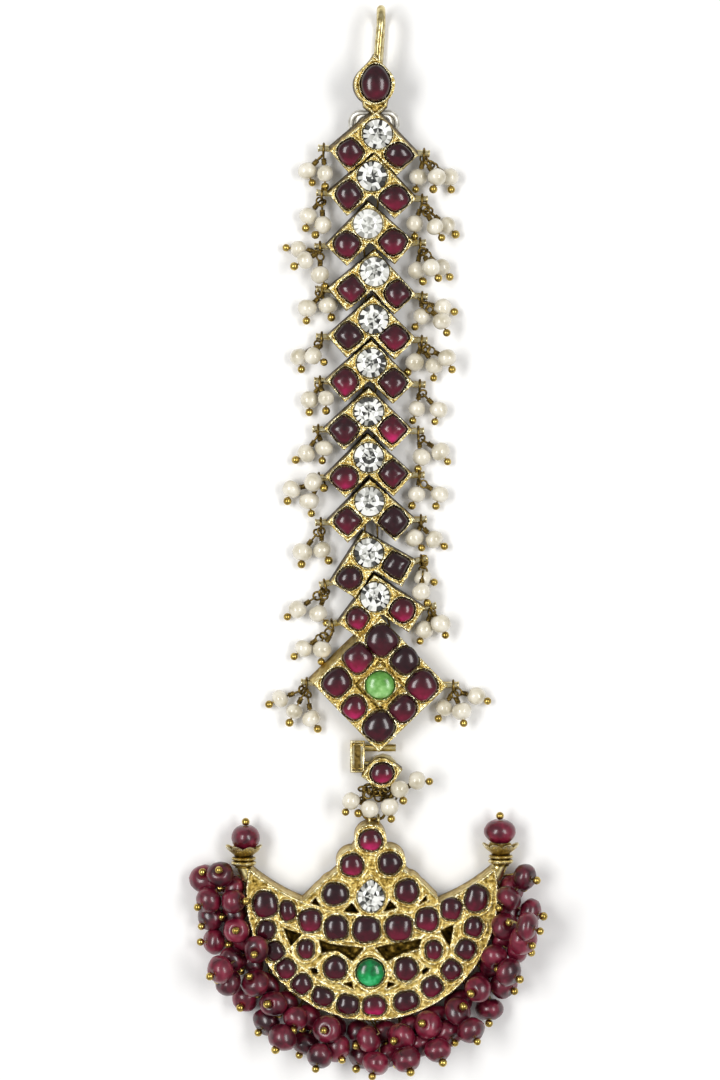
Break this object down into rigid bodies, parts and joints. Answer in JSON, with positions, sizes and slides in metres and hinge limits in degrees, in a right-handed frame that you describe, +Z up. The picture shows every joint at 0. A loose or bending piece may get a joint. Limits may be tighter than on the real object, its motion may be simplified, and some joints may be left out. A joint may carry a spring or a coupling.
{
  "type": "maang tikka",
  "caption": "Hair jewel lying flat: hook, teardrop crown, chain of chevron links with pearl drops, square plaque and a crescent pendant fringed with round beads.",
  "frame": {"origin": "on the surface that the jewel lies on, under the middle of its box", "axes": "+X across the jewel, +Y along it from the pendant to the hook, +Z up from the surface, the way the stones face"},
  "size_m": [0.0526, 0.16, 0.0094],
  "materials": {
    "gold_setting": "gold-plated silver, stippled and burnished",
    "pale_ring": "pale silver-gilt wire, dull",
    "ruby_cabochon": "polished ruby cabochon, foil backed",
    "ruby_bead": "tumbled ruby bead, semi-gloss",
    "pearl": "seed pearl, soft lustre",
    "clear_stone": "faceted white stone, foil backed",
    "green_stone": "polished light green cabochon",
    "emerald_stone": "polished emerald cabochon"
  },
  "bodies": {
    "root": {"hook_and_crown": "gold_setting", "crown_ruby": "ruby_cabochon", "back_ring": "pale_ring", "link_01": "gold_setting", "link_02": "gold_setting", "link_03": "gold_setting", "link_04": "gold_setting", "link_05": "gold_setting", "link_06": "gold_setting", "link_07": "gold_setting", "link_08": "gold_setting", "link_09": "gold_setting", "link_10": "gold_setting", "link_11": "gold_setting", "white_stone_01": "clear_stone", "white_stone_02": "clear_stone", "white_stone_03": "clear_stone", "white_stone_04": "clear_stone", "white_stone_05": "clear_stone", "white_stone_06": "clear_stone", "white_stone_07": "clear_stone", "white_stone_08": "clear_stone", "white_stone_09": "clear_stone", "white_stone_10": "clear_stone", "white_stone_11": "clear_stone", "pearls_left_01": "pearl", "pearls_left_02": "pearl", "pearls_left_03": "pearl", "pearls_left_04": "pearl", "pearls_left_05": "pearl", "pearls_left_06": "pearl", "pearls_left_07": "pearl", "pearls_left_08": "pearl", "pearls_left_09": "pearl", "pearls_left_10": "pearl", "pearls_left_11": "pearl", "pearls_right_01": "pearl", "pearls_right_02": "pearl", "pearls_right_03": "pearl", "pearls_right_04": "pearl", "pearls_right_05": "pearl", "pearls_right_06": "pearl", "pearls_right_07": "pearl", "pearls_right_08": "pearl", "pearls_right_09": "pearl", "pearls_right_10": "pearl", "pearls_right_11": "pearl", "plaque": "gold_setting", "plaque_green_stone": "green_stone", "plaque_pearls_left": "pearl", "plaque_pearls_right": "pearl", "pendant_bail": "gold_setting", "eye_setting": "gold_setting", "eye_pearls": "pearl", "crescent": "gold_setting", "pear_stone": "clear_stone", "crescent_emerald": "emerald_stone", "finial_bead_left": "ruby_bead", "finial_bead_right": "ruby_bead", "ruby_fringe": "ruby_bead"}
  },
  "joints": []
}
